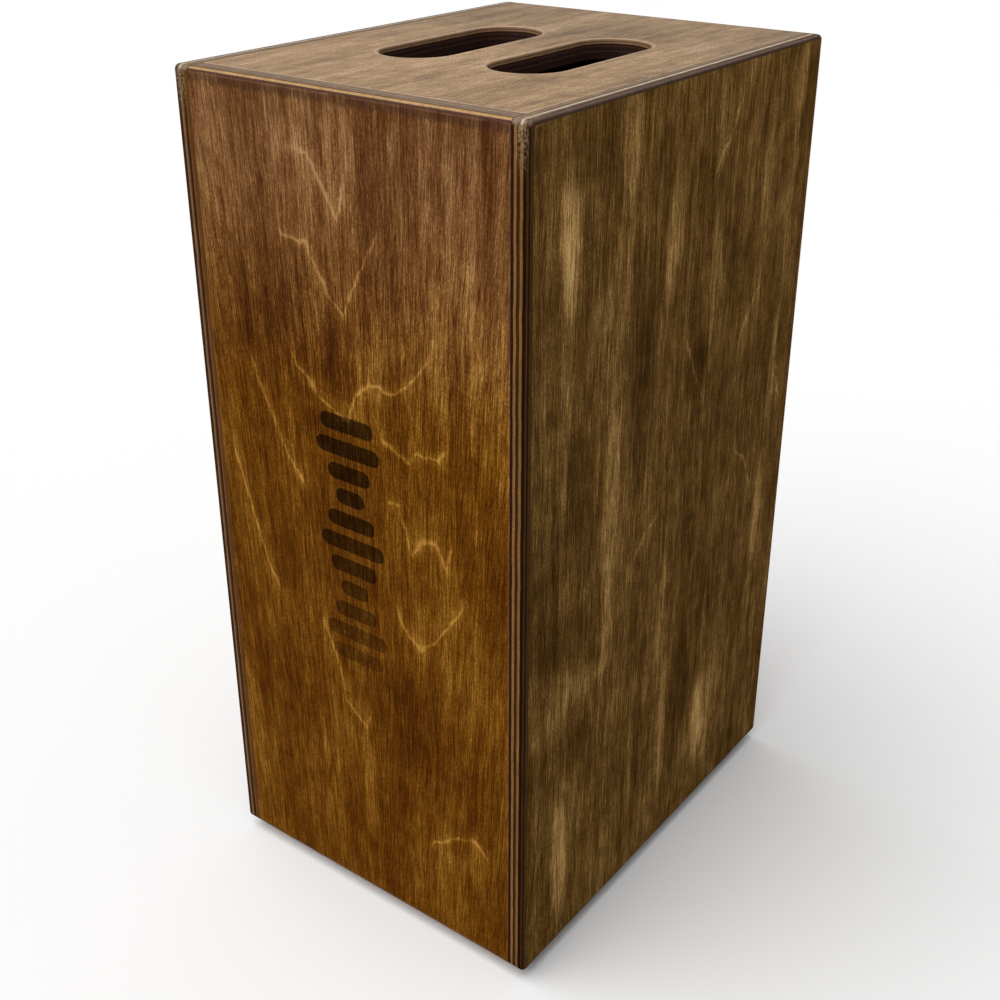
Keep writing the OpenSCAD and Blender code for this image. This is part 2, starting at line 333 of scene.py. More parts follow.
def ply_colours(t, depth, cuts, along, gain):
    """Colours of the plies on a cut edge. cuts are (depth where the ply ends, colour), and
    along is a noise that runs with the edge. Glue lines are dark, under the rounded veneer."""
    total = cuts[-1][0]
    stops, blur = [(0.0, cuts[0][1])], 0.16
    for (end, colour), (_, following) in zip(cuts, cuts[1:]):
        glue = tuple(c * (0.6 if end > 3.0 else 1.0) for c in colour)
        stops += [((end - blur) / total, colour), (end / total, glue),
                  ((end + blur) / total, following)]
    unsteady = (along - 0.5) * depth.ramp(0.3, 4.0, 0.1, 0.9)
    return t.colours((depth + unsteady) / total, stops, gain)


# plies, as (depth under the outer face where one ends, colour): the first ones lie in the
# rounded veneer, darkened partly by stain and partly as painted shade on the turned round-over
SIDE_PLIES = [(0.9, (60, 40, 14)), (1.6, (36, 14, 3)), (2.5, (58, 38, 13)), (4.5, (34, 11, 3)),
              (6.3, (116, 82, 36)), (8.1, (58, 31, 10)), (9.8, (122, 88, 48)), (11.4, (46, 18, 3)),
              (PLY, (46, 18, 3))]
LEFT_PLIES = [(1.2, (52, 36, 22)), (4.1, (60, 30, 8)), (5.6, (116, 88, 60)), (6.6, (80, 50, 25)),
              (8.0, (54, 25, 4)), (9.0, (106, 72, 42)), (11.3, (92, 55, 14)), (PLY, (46, 18, 3))]
# the side panels' plies again for their top edges: a paler copy with painted highlights from the
# overhead light
SIDE_TOP_HIGHLIT = [(0.5, (66, 49, 39)), (0.95, (84, 66, 54)), (1.85, (112, 92, 80)), (3.9, (91, 69, 58)),
            (4.9, (150, 128, 108)), (6.4, (208, 188, 166)), (8.2, (120, 100, 82)),
            (10.9, (142, 120, 98)), (PLY, (104, 82, 64))]
FRONT_PLIES = [(0.42, (86, 60, 54)), (1.5, (190, 152, 104)), (2.4, (112, 82, 62)),
               (4.2, (142, 120, 101)), (6.0, (132, 110, 92)), (8.0, (154, 132, 111)),
               (9.6, (134, 112, 94)), (11.3, (150, 128, 106)), (PLY, (80, 56, 40))]
# the seat's plies show only on the slot walls, darkened almost to black as painted shade inside
# the slots
SEAT_PLIES_SHADED = [(0.35, (150, 120, 90)), (1.1, (92, 66, 44)), (1.7, (52, 26, 10)),
              (2.6, (116, 84, 48)), (3.6, (34, 10, 3)), (4.6, (60, 32, 12)), (6.6, (32, 8, 2)),
              (7.4, (66, 38, 16)), (9.4, (26, 6, 2)), (11.35, (36, 11, 4)), (PLY, (34, 10, 4))]
THIN_PLIES = [(0.8, (66, 42, 20)), (3.2, (112, 84, 46)), (4.0, (50, 32, 18))]


def plywood(name, stops, depth_of, grain_of, plies, top_plies=None, seed=0.0, extra=None,
            gloss=0.4, specular=0.05, lit=0.6, edge_lit=None, rub_highlight_colour=(168, 132, 108),
            rub_highlight_amount=0.5, chips=False, **figure):
    """Stained birch plywood. depth_of gives the depth under the outer face from x, y, z in mm,
    and grain_of gives the directions across and along the grain. lit and edge_lit are the
    shares of the studio's light that reach the panel's face and its edges on top."""
    t = Tree(name)
    x, y, z = t.place()
    depth = depth_of(x, y, z)
    u, v = grain_of(x, y, z)
    tone, fibre = veneer_tone(t, u, v, seed, **figure)
    paint = None
    if extra:
        tone, paint = extra(t, x, y, z, tone, fibre)
    face = t.colours(tone * FULL, stops, 1 / lit)
    if paint:
        face = paint(face)
    back = depth.ramp(plies[-1][0] - 0.12, plies[-1][0] - 0.04, 0.0, 0.55)
    face = t.mix(back, face, (186, 112, 72))
    along = t.noise(x / 14, y / 14, z / 14, detail=3, seed=seed + 20)
    fine = t.noise(x / 0.6, y / 0.6, z / 0.9, detail=2, seed=seed + 21)
    torn = t.noise((x + z * 0.6) / 0.7, (y + z * 0.6) / 0.7, z / 3.0, detail=3, rough=0.6,
                   seed=seed + 22)
    smear = t.noise(x / 6, y / 6, z / 16, detail=3, rough=0.6, seed=seed + 23)
    core = ply_colours(t, depth, plies, along, 1 / (edge_lit or lit))
    # top edges take their own copy of the plies, on the side panels a paler one with painted
    # highlights
    if top_plies:
        top = (TOP_Z - z).ramp(1.2, 3.4, 1.0, 0.0)
        core = t.mix(top, core, ply_colours(t, depth, top_plies, along, 1 / SKY_LIT))
    core = t.shade(core, fine * 0.8 + torn * 1.0 + smear * 0.9 - 0.35)
    # the veneer's rounded part counts as its first ply, darker partly because it took up more
    # stain and partly as painted shade on the turned round-over
    last = plies[-2][0]
    inside = depth.ramp(0.01, 0.22) * depth.ramp(last - 0.08, last + 0.08, 1.0, 0.0)
    colour = t.mix(inside, face, core)
    # edges are painted paler in patches beside their roundings: partly rubbed by years of
    # handling, partly a painted highlight
    patchy = t.noise(x / 12, y / 12, z / 12, detail=3, seed=seed + 30).ramp(0.3, 0.55)
    rub = t.attribute("rub") * patchy
    # on the side panels the pale line, with its painted highlight, is kept to the front top corner
    if chips:
        rub = rub * ((TOP_Z - z) + (y - BOX_LOW.y)).ramp(4.0, 18.0, 1.0, 0.0)
    colour = t.mix(rub * rub_highlight_amount, colour, rub_highlight_colour)
    if chips:
        colour = t.mix(chipped(t, x, y, z, depth, seed + 33), colour, (166, 142, 110))
    spread = t.noise(x / 25, y / 25, z / 25, detail=2, seed=seed + 31) - 0.5
    t.bump(fibre * (1.0 - inside) + fine * inside * 0.6, 0.04)
    t.bsdf.inputs["Specular IOR Level"].default_value = specular
    return t.set(Base_Color=colour, Roughness=spread * 0.14 + gloss + inside * 0.25
                 - (fibre - 0.5) * 0.08)


def chipped(t, x, y, z, depth, seed):
    """Pale worn specks where the upper front corners of the box have been knocked."""
    speck = t.noise(x / 1.1, y / 1.1, z / 1.8, detail=3, rough=0.65, seed=seed).ramp(0.44, 0.6)
    near = ((TOP_Z - z) + (y - BOX_LOW.y)).ramp(3.0, 30.0, 1.0, 0.0)
    return speck * near * depth.ramp(1.2, 3.6, 0.0, 0.62) * depth.ramp(7.0, 9.5, 1.0, 0.0)


SKY_LIT = 1.16      # share of the studio's light on a face that looks up
FRONT_LIT = 0.94    # the same for the front
# the stain's colours, from thick to thin: a step is a quarter of the usual range of tones
FRONT = [(0.0, (52, 22, 0)), (0.2, (72, 35, 0)), (0.4, (92, 51, 1)), (0.6, (118, 75, 12)),
         (0.8, (151, 105, 38)), (1.0, (180, 131, 60))]
# the front's colours with a painted pale sheen, mixed over the upper part of its face
FRONT_SHEEN = [(0.0, (72, 38, 12)), (0.2, (90, 54, 25)), (0.4, (106, 69, 36)),
             (0.6, (127, 89, 54)), (0.8, (148, 110, 73)), (1.0, (170, 132, 94))]
SIDE = [(0.0, (42, 24, 2)), (0.2, (60, 38, 6)), (0.4, (80, 54, 18)), (0.6, (107, 79, 37)),
        (0.8, (142, 110, 62)), (1.0, (170, 138, 86))]
SEAT = [(0.0, (112, 84, 54)), (0.2, (146, 114, 78)), (0.4, (166, 131, 92)), (0.6, (186, 150, 110)),
        (0.8, (208, 174, 134)), (1.0, (224, 192, 154))]

# growth lines of the front panel, as (x, z) points in mm
FRONT_LINES = [
    [(-40, 485), (-22, 482), (-8, 458), (-3, 450), (1, 466), (6, 482)],
    [(-54, 466), (-50, 450), (-44, 436), (-27, 434), (-12, 408), (-2, 399), (5, 416), (27, 453),
     (32, 478)],
    [(-55, 395), (-40, 364), (-18, 344), (-3, 339), (4, 356), (14, 365), (29, 362), (40, 369),
     (55, 388), (66, 408)],
    [(16, 337), (32, 329), (40, 326), (45, 333), (60, 333), (70, 346)],
    [(18, 300), (32, 296), (40, 269), (47, 281), (57, 283), (64, 269), (73, 300)],
    [(22, 252), (30, 223), (37, 214), (45, 211), (55, 219), (69, 239), (81, 262)],
    [(-100, 308), (-86, 262), (-75, 226), (-64, 206)],
    [(-36, 212), (-21, 176), (-16, 149), (-1, 136), (7, 152)],
    [(44, 52), (50, 73), (69, 86), (82, 91), (91, 82), (95, 60)],
    [(-80, 372), (-70, 345), (-52, 306), (-36, 286)],
]
FRONT_STREAKS = [
    (83, 405, 5.5, 78, 0.0, 0.24), (86, 250, 6.5, 75, 0.0, 0.16), (-99, 455, 9, 80, 0.0, 0.14),
    (-101, 140, 8, 130, 0.0, 0.12), (0, 88, 5.5, 42, 0.0, 0.2), (-35, 106, 4, 20, 0.0, 0.2),
    (-38, 52, 4.5, 22, 0.1, 0.16), (84, 70, 9, 28, -0.1, 0.2), (46, 222, 9, 30, 0.0, 0.14),
    (45, 283, 7, 16, 0.0, 0.14), (6, 470, 10, 46, 0.0, 0.12), (-8, 374, 22, 28, 0.0, -0.14),
    (-38, 462, 12, 26, 0.0, -0.1), (22, 150, 32, 36, 0.0, -0.1), (-60, 250, 12, 50, -0.1, -0.08),
    (60, 160, 12, 60, 0.0, -0.08),
]
SIDE_LINES = [
    [(66, 336), (72, 352), (82, 366), (97, 380)],
    [(22, 452), (31, 466), (40, 474), (52, 496)],
    [(2, 370), (14, 345), (27, 326), (32, 306)],
    [(72, 286), (76, 270), (90, 258), (105, 226)],
    [(-46, 244), (-32, 256), (-16, 266)],
    [(121, 308), (127, 300), (135, 284)],
]
SIDE_STREAKS = [
    (-115, 452, 11, 44, 0.0, 0.34), (-116, 388, 6, 95, 0.0, 0.16), (-117, 280, 4.5, 60, 0.0, 0.1),
    (-62, 492, 11, 42, 0.0, 0.22), (-70, 284, 10, 76, 0.0, 0.2), (-71, 330, 9, 150, 0.0, 0.09),
    (-70, 204, 9, 38, 0.0, 0.14), (-15, 436, 9, 46, 0.06, 0.32), (-22, 392, 4.5, 40, 0.05, 0.14),
    (31, 486, 12, 32, 0.02, 0.2), (34, 400, 7.5, 54, 0.0, 0.2), (68, 452, 6.5, 44, -0.03, 0.18),
    (90, 440, 9, 62, 0.0, 0.18), (124, 488, 10, 32, 0.1, 0.26), (122, 415, 6.5, 60, 0.0, 0.1),
    (119, 312, 5, 42, 0.02, 0.22), (115, 208, 6.5, 52, 0.02, 0.24), (111, 132, 7, 38, 0.02, 0.2),
    (-8, 190, 5.5, 52, 0.08, 0.16), (1, 90, 6.5, 62, -0.02, 0.28), (52, 76, 10, 42, 0.0, 0.3),
    (66, 72, 7, 52, 0.0, 0.14), (-113, 70, 11, 50, -0.02, 0.28), (-94, 188, 30, 12, 0.4, 0.12),
    (-118, 228, 34, 26, 0.0, -0.16), (-118, 148, 42, 26, 0.0, -0.14), (22, 112, 14, 62, 0.0, -0.2),
    (20, 345, 13, 24, 0.0, -0.28), (56, 395, 11, 44, 0.0, -0.12), (-42, 330, 10, 70, 0.0, -0.08),
]


def mark(t, x, y, z, tone, fibre):
    """A dark stained motif, a column of rounded bars whose widths rise and fall like a sound
    wave, on the outer face of the front panel."""
    low, high, bars, bar_r, middle = 178.0, 343.0, 11, 5.0, -4.5
    pitch = (high - low) / bars
    up = (z - low) / pitch
    half = ((up.op("FLOOR") - (bars - 1) / 2) * 1.5).op("COSINE") * 6.5 + 17.0
    across = (abs(x - middle) - (half - bar_r)).most(0.0)
    along = (up.op("FRACT") - 0.5) * pitch
    reach = (across * across + along * along) ** 0.5 + (fibre - 0.5) * 0.7
    inside = reach.ramp(bar_r - 0.3, bar_r + 0.3, 1.0, 0.0)
    inside = inside * z.ramp(low - 0.1, low) * z.ramp(high, high + 0.1, 1.0, 0.0)
    outside = (y - (BOX_LOW.y + 1.0)).ramp(0.0, 0.2, 1.0, 0.0)
    worn = z.ramp(low - 40, low + 115, 0.35, 1.0)
    inside = inside * outside * worn
    # the upper front is painted paler and pinker towards the top edge: a painted sheen
    top = z.ramp(330.0, 500.0, 0.0, 0.9)
    wet = t.noise(x / 9, 0.0, detail=2, seed=67.0) * 7.0 + t.noise(x / 1.1, z / 9, seed=66.0) * 4.0
    wet = (wet + z - TOP_Z).ramp(-3.4, -0.4, 0.0, 0.5)

    tone = (tone + drawn_figure(t, x, z, 61.0, FRONT_LINES) * 0.36
            + drawn_streaks(t, x, z, 65.0, FRONT_STREAKS))
    upper = z.ramp(290.0, 410.0)
    short = t.noise(x / 0.5, z / 5, detail=2, rough=0.6, seed=68.0) - 0.5
    broad = t.noise(x / 9, z / 140, detail=2, seed=69.0) - 0.5
    tone = (tone - MIDDLE) * (upper * 0.2 + 1.0) + (MIDDLE - 0.01)
    tone = tone + short * (upper * 0.6 + 0.55) + broad * upper * 1.1

    def paint(face):
        # the painted sheen over the upper front
        face = t.mix(top, face, t.colours(tone * FULL, FRONT_SHEEN, 1 / FRONT_LIT))
        face = t.mix(wet, face, (58, 34, 28))
        return t.mix(inside, face, t.shade(face, 0.22))
    return tone, paint


def streaked(own):
    """Pale streaks along the grain of a side panel where the stain took less. own adds the
    listed ones to the even spread."""
    def extra(t, x, y, z, tone, fibre):
        body = t.noise(y / 13, z / 120, detail=2, rough=0.4, seed=51.0).ramp(0.5, 0.78)
        if not own:
            return tone + body * 0.3 - 0.05, None
        # the lower part of the face is painted a little paler, as light bounced up from the floor
        tone = (tone + body * 0.06 + drawn_streaks(t, y, z, 3.3, SIDE_STREAKS) * 1.12
                + z.ramp(40, 260, 0.05, 0.0))
        hair = abs(t.noise(y / 7, z / 42, detail=1, seed=81.0) - 0.5).ramp(0.0, 0.012, 1.0, 0.0)
        hair = hair * t.noise(y / 10, z / 25, detail=1, seed=83.0).ramp(0.45, 0.65)
        leaning = t.noise(y / 30, z / 45, detail=1, seed=85.0).ramp(0.35, 0.65)
        right = t.noise((y + z * 0.3) / 0.9, z / 6, detail=2, rough=0.6, seed=86.0) - 0.5
        left = t.noise((y - z * 0.4) / 0.9, z / 6, detail=2, rough=0.6, seed=87.0) - 0.5
        tone = tone + hair * 0.14 + (right * leaning + left * (1.0 - leaning)) * 0.5
        return tone + drawn_figure(t, y, z, 71.0, SIDE_LINES) * 0.26 - 0.06, None
    return extra


def seat_flecks_and_fade(t, x, y, z, tone, fibre):
    """The seat is flecked by use, and paler towards the front."""
    fleck = t.noise(x / 1.3, y / 1.1, detail=2, rough=0.7, seed=91.0) - 0.5
    scuff = t.noise((x + y) / 26, (x - y) / 9, detail=3, rough=0.6, seed=93.0) - 0.5
    return ((tone - MIDDLE) * 1.25 + MIDDLE + fleck * 1.9 + scuff * 0.8,
            lambda face: t.shade(face, y.ramp(-50.0, 100.0, 1.03, 0.8)))


def wood_materials():
    return {
        "front_panel": plywood(
            "stain_front", FRONT, lambda x, y, z: y - BOX_LOW.y, lambda x, y, z: (x, z),
            FRONT_PLIES, FRONT_PLIES, seed=1.0, extra=mark, fan=0.0007, lit=FRONT_LIT, lines=0.0,
            rub_highlight_amount=0.2, crisp=0.85, specular=0.025),
        "left_side_panel": plywood(
            "stain_left", SIDE, lambda x, y, z: x - BOX_LOW.x, lambda x, y, z: (y, z),
            LEFT_PLIES, SIDE_TOP_HIGHLIT, seed=12.0, extra=streaked(False), middle=-30.0, steep=3.2,
            period=110.0, lit=0.71, edge_lit=0.94, rub_highlight_amount=0.3, lines=0.12, crisp=0.85,
            chips=True),
        "right_side_panel": plywood(
            "stain_right", SIDE, lambda x, y, z: BOX_HIGH.x - x, lambda x, y, z: (y, z),
            SIDE_PLIES, SIDE_TOP_HIGHLIT, seed=5.0, extra=streaked(True), lit=0.71, edge_lit=0.94,
            rub_highlight_amount=0.3, lines=0.0, crisp=0.85, chips=True),
        "seat_panel": plywood(
            "stain_seat", SEAT, lambda x, y, z: TOP_Z - z, lambda x, y, z: (x, y), SEAT_PLIES_SHADED,
            seed=8.0, extra=seat_flecks_and_fade, lit=SKY_LIT, edge_lit=0.7, middle=20.0, steep=3.0,
            period=120.0, wander=80.0, lines=0.2, crisp=0.8, broad=1.5, specular=0.35,
            rub_highlight_colour=(206, 176, 150), rub_highlight_amount=0.75),
        "floor_panel": plywood(
            "stain_floor", SIDE, lambda x, y, z: z - BASE_Z, lambda x, y, z: (x, y), SIDE_PLIES,
            seed=17.0, middle=10.0, steep=2.6),
        "playing_plate": plywood(
            "stain_plate", FRONT, lambda x, y, z: BOX_HIGH.y - y, lambda x, y, z: (x, z),
            THIN_PLIES, seed=23.0, middle=-12.0, fan=0.0006, steep=2.0, period=105.0, lit=0.85),
    }


def timber(name, along_axis, seed):
    """Planed, unstained timber, with its grain along one axis."""
    t = Tree(name)
    xyz = t.place()
    v = xyz.pop(along_axis)
    a, b = xyz
    rings = t.noise(a / 2.6, b / 2.6, v / 260, detail=2, seed=seed) - 0.5
    fibre = t.noise(a / 0.7, b / 0.7, v / 16, detail=3, seed=seed + 4)
    patch = t.noise(a / 30, b / 30, v / 80, detail=2, seed=seed + 8) - 0.5
    tone = rings * 1.2 + fibre * 0.35 + patch * 0.4 + 0.33
    colour = t.colours(tone, [(0.0, (150, 108, 66)), (0.45, (198, 160, 112)),
                              (1.0, (226, 196, 150))])
    t.bump(fibre, 0.08)
    return t.set(Base_Color=colour, Roughness=0.62 + patch * 0.2)


def metal(name, low, high, rough, scratch=(1, 1, 1), seed=0.0, metallic=1.0, relief=0.02):
    """Metal or metal-like finish between two colours, with brushing stretched by scratch."""
    t = Tree(name)
    x, y, z = t.place()
    a, b, c = scratch
    brushed = t.noise(x / a, y / b, z / c, detail=3, rough=0.6, seed=seed)
    patch = t.noise(x / 5, y / 5, z / 5, detail=2, seed=seed + 5)
    colour = t.colours(brushed * 0.6 + patch * 0.4, [(0.3, low), (0.7, high)])
    t.bump(brushed, relief)
    t.bsdf.inputs["Metallic"].default_value = metallic
    return t.set(Base_Color=colour, Roughness=(patch - 0.5) * 0.3 + (brushed - 0.5) * 0.15 + rough)


def rubber():
    t = Tree("foot_rubber")
    x, y, z = t.place()
    grain = t.noise(x / 0.25, y / 0.25, z / 0.25, detail=2, seed=2.0)
    dust = t.noise(x / 6, y / 6, z / 3, detail=3, seed=9.0)
    colour = t.colours(dust * 0.7 + grain * 0.3, [(0.35, (26, 26, 28)), (0.7, (52, 50, 49))])
    t.bump(grain, 0.04)
    return t.set(Base_Color=colour, Roughness=0.7 + (dust - 0.5) * 0.3)


# ---------------------------------------------------------------- geometry

def finish_mesh(name, bm, material, nodes, normals=None, sharp=None):
    """bm, in metres, as a smooth-shaded piece that stands for CAD nodes. sharp is the angle, in
    degrees, over which its edges stay sharp."""
    mesh = bpy.data.meshes.new(name)
    bm.to_mesh(mesh)
    bm.free()
    mesh.materials.append(material)
    for p in mesh.polygons:
        p.use_smooth = True
    if normals is not None:
        mesh.normals_split_custom_set_from_vertices(normals)
    if sharp is not None:
        mesh.set_sharp_from_angle(angle=math.radians(sharp))
    piece = bpy.data.objects.new(name, mesh)
    bpy.context.scene.collection.objects.link(piece)
    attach(piece, "root")
    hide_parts(*nodes)


def stitch(bm, rings):
    """Joins each ring of points to the next one."""
    for a, b in zip(rings, rings[1:]):
        for i in range(len(a)):
            j = (i + 1) % len(a)
            bm.faces.new((a[i], a[j], b[j], b[i]))


def polar(at, turn, radius, angle, height):
    """A point of a turned shape, in metres: at is the shape's origin and turn its rotation."""
    return at + turn @ (Vector((radius * math.cos(angle), radius * math.sin(angle), height)) * MM)


def ring_of(bm, at, turn, radius, height, count):
    return [bm.verts.new(polar(at, turn, radius, FULL_TURN * i / count, height))
            for i in range(count)]


def arc_at(radius, t):
    """A rounding of that radius, t below the cap: how far it is inset, and its turn."""
    if t >= radius:
        return 0.0, 0.0
    turn = math.asin((radius - t) / radius)
    return radius * (1 - math.cos(turn)), turn


def depths(*radii):
    """Distances below a cap at which the roundings need a loop of points."""
    found = {0.0}
    for r in radii:
        steps = 9 if r > 1 else 4
        found |= {round(r * (1 - math.sin(math.pi / 2 * i / steps)), 4) for i in range(steps + 1)}
    return sorted(found)


def outline(low, high, insets, turns, corner_r):
    """Points round a rectangle with rounded corners: (a, b), in-plane normal and turn.
    insets and turns are for the sides a-, a+, b-, b+, and corner_r is by corner."""
    points, steps = [], 5
    corners = (("a+", "b+", 0), ("a-", "b+", 1), ("a-", "b-", 2), ("a+", "b-", 3))
    for side_a, side_b, quarter in corners:
        sa, sb = (1 if side_a == "a+" else -1), (1 if side_b == "b+" else -1)
        ia, ib = insets[side_a], insets[side_b]
        r = max(corner_r[quarter] - min(ia, ib), 0.03)
        edge_a = (high[0] - ia) if sa > 0 else (low[0] + ia)
        edge_b = (high[1] - ib) if sb > 0 else (low[1] + ib)
        for i in range(steps + 1):
            # quarters 0 and 2 run from side a to side b, the others back
            share = i / steps if quarter in (0, 2) else 1 - i / steps
            angle = share * math.pi / 2
            c, s = math.cos(angle), math.sin(angle)
            spot = (edge_a - sa * r * (1 - c), edge_b - sb * r * (1 - s))
            turn = turns[side_a] * c * c + turns[side_b] * s * s
            reach = corner_r[quarter] if corner_r[quarter] > 1 else 0
            points.append((spot, (sa * c, sb * s), turn, reach))
    return points


def stadium(middle, half, radius, count):
    """Points round a slot with round ends along b, or a circle where half is 0."""
    points = []
    for end in (1, -1):
        for i in range(count + 1):
            angle = math.pi * i / count + (0 if end > 0 else math.pi)
            if half == 0 and i == count:
                continue
            c, s = math.cos(angle), math.sin(angle)
            spot = (middle[0] + radius * c, middle[1] + end * half + radius * s)
            points.append((spot, (-c, -s)))
    return points


def board(name, material, axis, outward, rounded=(), corners=(ARRIS,) * 4, holes=()):
    """A plywood panel that stands for the CAD node of the same name. axis is its thickness
    and outward the side that its outer face is on. rounded lists the sides, a-, a+, b- or b+,
    whose outer edge is rounded to the box's radius; every other edge has a fine arris."""
    low, high = (Vector(p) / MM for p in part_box(name))
    plane = [i for i in range(3) if i != axis]
    lo, hi = [low[i] for i in plane], [high[i] for i in plane]
    caps = {outward: high[axis], -outward: low[axis]}
    sides = ("a-", "a+", "b-", "b+")
    radius = {(1, s): (EDGE if s in rounded else ARRIS) for s in sides}
    radius.update({(-1, s): ARRIS for s in sides})
    bm = bmesh.new()
    # each point holds how much of the pale edge line lies on it: rubbed wear and a painted
    # highlight beside the roundings
    rub_highlight_layer = bm.verts.layers.float.new("rub")
    normals = []

    def add(spot, level, normal, turn, cap, rub):
        at = [0.0, 0.0, 0.0]
        at[plane[0]], at[plane[1]], at[axis] = spot[0], spot[1], level
        n = [0.0, 0.0, 0.0]
        n[plane[0]], n[plane[1]] = normal[0] * math.cos(turn), normal[1] * math.cos(turn)
        n[axis] = math.sin(turn) * cap * outward
        vert = bm.verts.new([c * MM for c in at])
        vert[rub_highlight_layer] = rub
        normals.append(Vector(n).normalized())
        return vert

    def loop(cap, t, push=0.0):
        insets, turns = {}, {}
        for s in sides:
            inset, turn = arc_at(radius[(cap, s)], t)
            insets[s], turns[s] = inset + push, turn
        made = []
        level = caps[cap] - cap * outward * t
        for spot, normal, turn, reach in outline(lo, hi, insets, turns, corners):
            turn = math.pi / 2 if t == 0 else turn
            round_here = turn and any(radius[(cap, s)] > 1 for s in sides)
            own = max(reach, EDGE if round_here else ARRIS)
            gone = own * (math.pi / 2 - turn)
            rub = 0.0 if push or not turn else max(0.0, 1 - gone / RUB_HIGHLIGHT)
            made.append(add(spot, level, normal, turn, cap, rub))
        return made

    rows = [loop(1, 0.0, RUB_HIGHLIGHT)] + [loop(1, t) for t in depths(*{radius[(1, s)] for s in sides})]
    rows += [loop(-1, t) for t in reversed(depths(ARRIS))] + [loop(-1, 0.0, RUB_HIGHLIGHT)]
    stitch(bm, rows)
    rims = {1: [rows[0]], -1: [rows[-1]]}

    thick = abs(caps[1] - caps[-1])
    for hole in holes:
        made, flare = [], hole.get("flare", 0.0)
        grow = RUB_HIGHLIGHT if not flare else 0.25

        def ring(cap, t, extra, turn, rub):
            level = caps[cap] - cap * outward * t
            return [add(spot, level, normal, turn, cap, rub) for spot, normal in
                    stadium(hole["at"], hole["half"], hole["r"] + extra, hole["count"])]
        if flare:
            made.append(ring(1, 0.0, flare + grow, math.pi / 2, 0.0))
            made.append(ring(1, 0.0, flare, math.pi / 3, 0.6))
            made.append(ring(1, hole["sink"], 0.0, 0.6, 0.0))
            made.append(ring(1, thick, 0.0, 0.0, 0.0))
            rims[-1].append(made[-1])
        else:
            made.append(ring(1, 0.0, EDGE + grow, math.pi / 2, 0.0))
            for t in depths(EDGE):
                inset, turn = arc_at(EDGE, t)
                gone = EDGE * (math.pi / 2 - turn)
                made.append(ring(1, t, inset, turn, max(0.0, 1 - gone / RUB_HIGHLIGHT)))
            for t in reversed(depths(ARRIS)):
                inset, turn = arc_at(ARRIS, t)
                made.append(ring(-1, t, inset, turn, 0.0))
            made.append(ring(-1, 0.0, ARRIS + grow, math.pi / 2, 0.0))
            rims[-1].append(made[-1])
        stitch(bm, made)
        rims[1].append(made[0])

    for cap in (1, -1):
        if len(rims[cap]) == 1:
            bm.faces.new(rims[cap][0])
        else:
            edges = [bm.edges.get((r[i], r[(i + 1) % len(r)]))
                     for r in rims[cap] for i in range(len(r))]
            made = bmesh.ops.triangle_fill(bm, use_beauty=True, use_dissolve=False, edges=edges)
            # the fill can leave a triangle of three points in a line, hung on an edge that is full
            stray = [f for f in made["geom"] if isinstance(f, bmesh.types.BMFace)
                     and f.calc_area() < NO_AREA and any(len(e.link_faces) > 2 for e in f.edges)]
            bmesh.ops.delete(bm, geom=stray, context="FACES")
    bmesh.ops.recalc_face_normals(bm, faces=bm.faces)
    finish_mesh(name + "_board", bm, material, [name], normals=normals)


def lathe(bm, at, profile, count):
    """Adds an upright turned shape to bm: profile is (radius, height) pairs."""
    stitch(bm, [ring_of(bm, at, UPRIGHT, radius, height, count) for radius, height in profile])


def soften(piece, width, segments):
    """Rounds the sharp edges of a piece by a width in mm."""
    bevel = piece.modifiers.new("soften", "BEVEL")
    bevel.width, bevel.segments = width * MM, segments
    bevel.limit_method, bevel.angle_limit = "ANGLE", math.radians(35)
    bevel.harden_normals = False
    even = piece.modifiers.new("even", "WEIGHTED_NORMAL")
    even.keep_sharp = False
    even.weight = 80
    for p in piece.data.polygons:
        p.use_smooth = True


def dress(node, material, width, segments=3):
    """A CAD node kept as it is, with a material and softened edges."""
    piece = NODES[node]
    piece.data.materials.clear()
    piece.data.materials.append(material)
    soften(piece, width, segments)


# ---------------------------------------------------------------- the box

woods = wood_materials()


SLOT_HALF, SLOT_R = 39.5, 21.5      # from a slot's middle to its end's centre, and the end


def slot_holes():
    """The two hand slots of the seat, from the record's openings."""
    found = []
    for opening in frame["record"]["physics"]["openings"][:2]:
        (x0, _, _), (x1, _, _) = opening["box_m"]
        found.append({"at": ((x0 + x1) / 2 / MM, 0.0), "half": SLOT_HALF, "r": SLOT_R,
                      "count": 28})
    return found


def loose_parts(node):
    """The points of each loose part of a CAD node's mesh, in metres."""
    bm = bmesh.new()
    bm.from_mesh(NODES[node].data)
    bmesh.ops.remove_doubles(bm, verts=bm.verts, dist=WELD)
    bm.verts.index_update()
    parts, seen = [], [False] * len(bm.verts)
    for start in bm.verts:
        if seen[start.index]:
            continue
        group, queue = [], [start]
        seen[start.index] = True
        while queue:
            v = queue.pop()
            group.append(v.co.copy())
            for e in v.link_edges:
                o = e.other_vert(v)
                if not seen[o.index]:
                    seen[o.index] = True
                    queue.append(o)
        parts.append(group)
    bm.free()
    return parts


def screw_spots():
    """Where the playing plate's screws are, as (x, z) in mm."""
    spots = []
    for group in loose_parts("plate_screws"):
        xs, zs = [p.x for p in group], [p.z for p in group]
        spots.append(((min(xs) + max(xs)) / 2 / MM, (min(zs) + max(zs)) / 2 / MM))
    return sorted(spots)


SCREWS = screw_spots()
HEAD_R = 3.5        # radius of a plate screw's head
PILOT_R = 1.9       # radius of its hole in the plate
SINK = 2.2          # depth of the countersink

